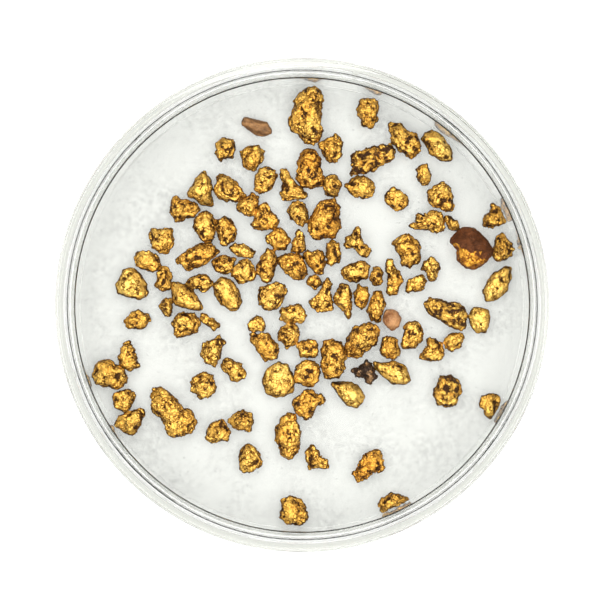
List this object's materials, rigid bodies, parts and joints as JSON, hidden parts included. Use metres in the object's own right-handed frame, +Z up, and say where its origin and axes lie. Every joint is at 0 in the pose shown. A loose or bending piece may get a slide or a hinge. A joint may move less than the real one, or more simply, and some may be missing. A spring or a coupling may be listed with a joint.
{
  "type": "gold sample dish",
  "caption": "Round clear plastic sample dish with a lift-off vented lid, holding loose natural gold nuggets.",
  "frame": {"origin": "centre of the plane that the dish stands on", "axes": "+Z up along the axis of the dish and lid; +Y points away from a person looking at the front, +X to their right"},
  "size_m": [0.094, 0.094, 0.016],
  "materials": {
    "dish_polystyrene": "clear moulded polystyrene, polished",
    "lid_polystyrene": "clear moulded polystyrene, polished",
    "natural_gold": "rough natural gold with dark brown pits",
    "ironstone_gold": "gold partly coated with dark brown ironstone",
    "tan_stone": "smooth orange-brown stone"
  },
  "bodies": {
    "dish": {"dish": "dish_polystyrene"},
    "lid": {"lid": "lid_polystyrene"},
    "nuggets": {"tall_nugget": "natural_gold", "waisted_nugget": "natural_gold", "ironstone_nugget": "ironstone_gold", "banded_nugget": "natural_gold", "dark_bar_nugget": "ironstone_gold", "block_nugget": "natural_gold", "slanted_nugget": "natural_gold", "slab_nugget": "natural_gold", "fold_nugget": "natural_gold", "bar_nugget": "natural_gold", "bell_nugget": "natural_gold", "shield_nugget": "natural_gold", "coin_nugget": "natural_gold", "loaf_nugget": "natural_gold", "spindle_nugget": "natural_gold", "antler_nugget": "natural_gold", "cone_nugget": "natural_gold", "drop_nugget": "natural_gold", "sole_nugget": "natural_gold", "feather_nugget": "natural_gold", "coral_nugget": "ironstone_gold", "tooth_nugget": "natural_gold", "leaf_nugget": "natural_gold", "pear_nugget": "natural_gold", "clinker_nugget": "natural_gold", "lobed_nugget": "natural_gold", "mitt_nugget": "natural_gold", "branch_nugget": "natural_gold", "cloud_nugget": "natural_gold", "ridge_nugget": "natural_gold", "hilt_nugget": "natural_gold", "crescent_nugget": "natural_gold", "bun_nugget": "natural_gold", "twin_nugget": "natural_gold", "egg_nugget": "natural_gold", "fin_nugget": "natural_gold", "star_nugget": "natural_gold", "spire_nugget": "natural_gold", "sliver_stone": "tan_stone", "smooth_stone": "tan_stone", "dark_stone": "ironstone_gold", "heart_nugget": "natural_gold", "south_edge_nugget": "natural_gold", "east_edge_nugget": "natural_gold", "horn_nugget": "natural_gold", "north_west_nuggets": "natural_gold", "upper_left_nuggets": "natural_gold", "left_nuggets": "natural_gold", "lower_left_nuggets": "natural_gold", "south_nuggets": "natural_gold", "inner_left_nuggets": "natural_gold", "middle_nuggets": "natural_gold", "centre_right_nuggets": "natural_gold", "upper_right_nuggets": "natural_gold", "right_nuggets": "natural_gold"}
  },
  "joints": [
    {"name": "lid_lift", "type": "slide", "parent": "dish", "child": "lid", "axis": [0, 0, 1], "range_m": [0, 0.04]},
    {"name": "nuggets_lift", "type": "slide", "parent": "dish", "child": "nuggets", "axis": [0, 0, 1], "range_m": [0, 0.008]}
  ]
}
